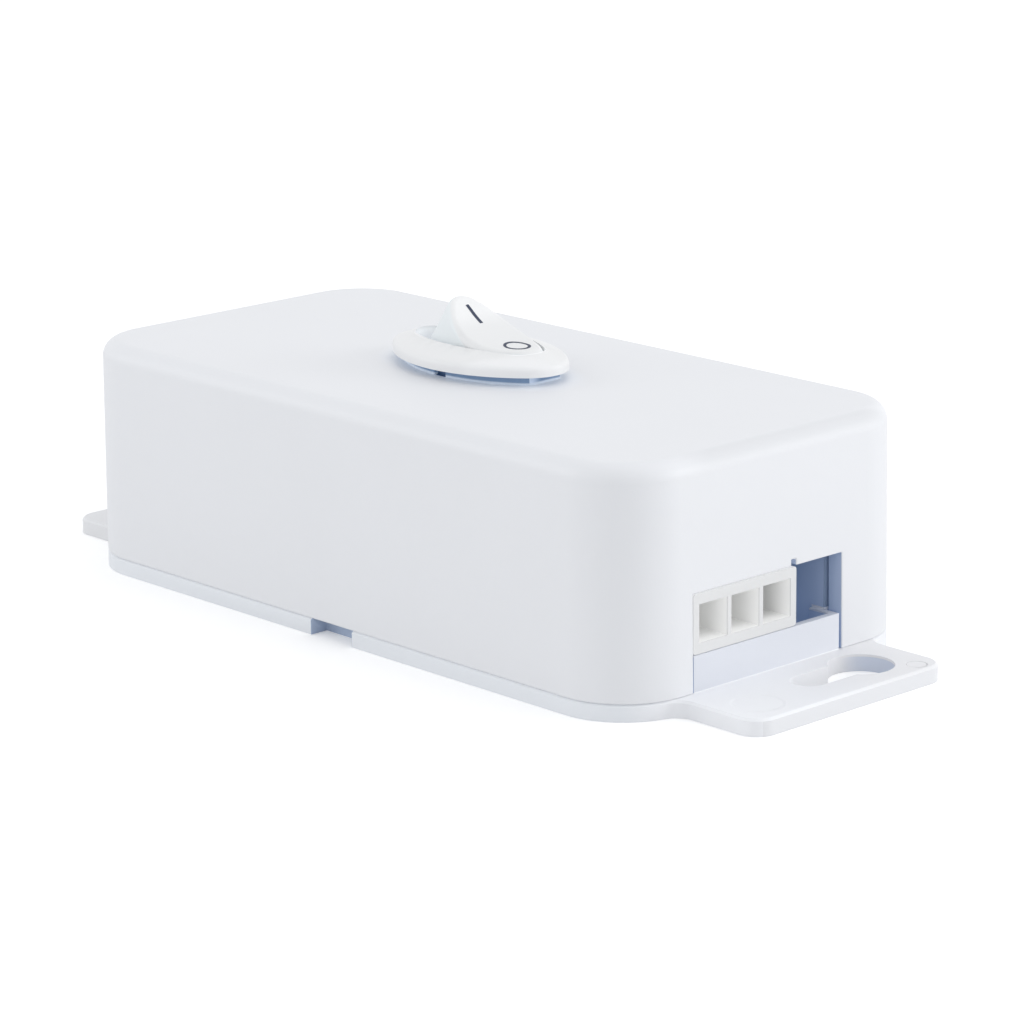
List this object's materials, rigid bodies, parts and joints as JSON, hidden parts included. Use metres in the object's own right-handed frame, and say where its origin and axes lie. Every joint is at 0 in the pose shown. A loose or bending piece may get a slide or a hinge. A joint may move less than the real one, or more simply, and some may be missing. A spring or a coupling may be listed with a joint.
{
  "type": "rocker switch junction box",
  "caption": "Surface-mounted wiring box with an oval rocker switch in its top, a square-pin plug receptacle and a cord inlet in one end, and a keyhole ear at each end.",
  "frame": {"origin": "centre of the footprint, on the mounting surface", "axes": "+X along the box towards the receptacle end, +Z away from the mounting surface, +Y to the left as seen from the switch looking at the receptacle end"},
  "size_m": [0.1244, 0.0496, 0.038],
  "materials": {
    "casing": "satin moulded",
    "casing_base": "satin moulded",
    "switch_white": "satin moulded",
    "nylon": "natural moulded",
    "block": "natural moulded",
    "sleeve": "clear moulded",
    "contact_brass": "tin plated",
    "brass": "bright",
    "copper_strip": "bright",
    "silver": "bright",
    "spring_steel": "drawn wire",
    "screw_steel": "zinc plated",
    "lead_line": "black insulation",
    "lead_neutral": "white insulation",
    "lead_earth": "green insulation"
  },
  "bodies": {
    "housing": {"base_plate": "casing_base", "cover": "casing", "receptacle_housing": "nylon", "earth_contact": "contact_brass", "neutral_contact": "contact_brass", "line_contact": "contact_brass", "switch_frame": "switch_white", "feed_terminal": "brass", "load_terminal": "brass", "fixed_contact": "silver", "feed_connector": "contact_brass", "feed_sleeve": "sleeve", "load_connector": "contact_brass", "load_sleeve": "sleeve", "terminal_block": "block", "wire_cages": "brass", "clamp_screws": "screw_steel", "block_screws": "screw_steel", "line_lead": "lead_line", "switched_lead": "lead_line", "neutral_lead": "lead_neutral", "earth_lead": "lead_earth"},
    "rocker": {"rocker": "switch_white", "plunger": "brass", "plunger_spring": "spring_steel"},
    "see_saw": {"contact_blade": "copper_strip", "moving_contact": "silver"}
  },
  "joints": [
    {"name": "rocker_tilt", "type": "hinge", "parent": "housing", "child": "rocker", "pos_m": [0, 0, 0.027], "axis": [0, 1, 0], "range_deg": [-40, 0]},
    {"name": "see_saw_tilt", "type": "hinge", "parent": "housing", "child": "see_saw", "pos_m": [0, 0, 0.0166], "axis": [0, 1, 0], "range_deg": [0, 12]}
  ],
  "couplings": [
    {"joint": "see_saw_tilt", "follows": "rocker_tilt", "ratio": -0.3}
  ]
}
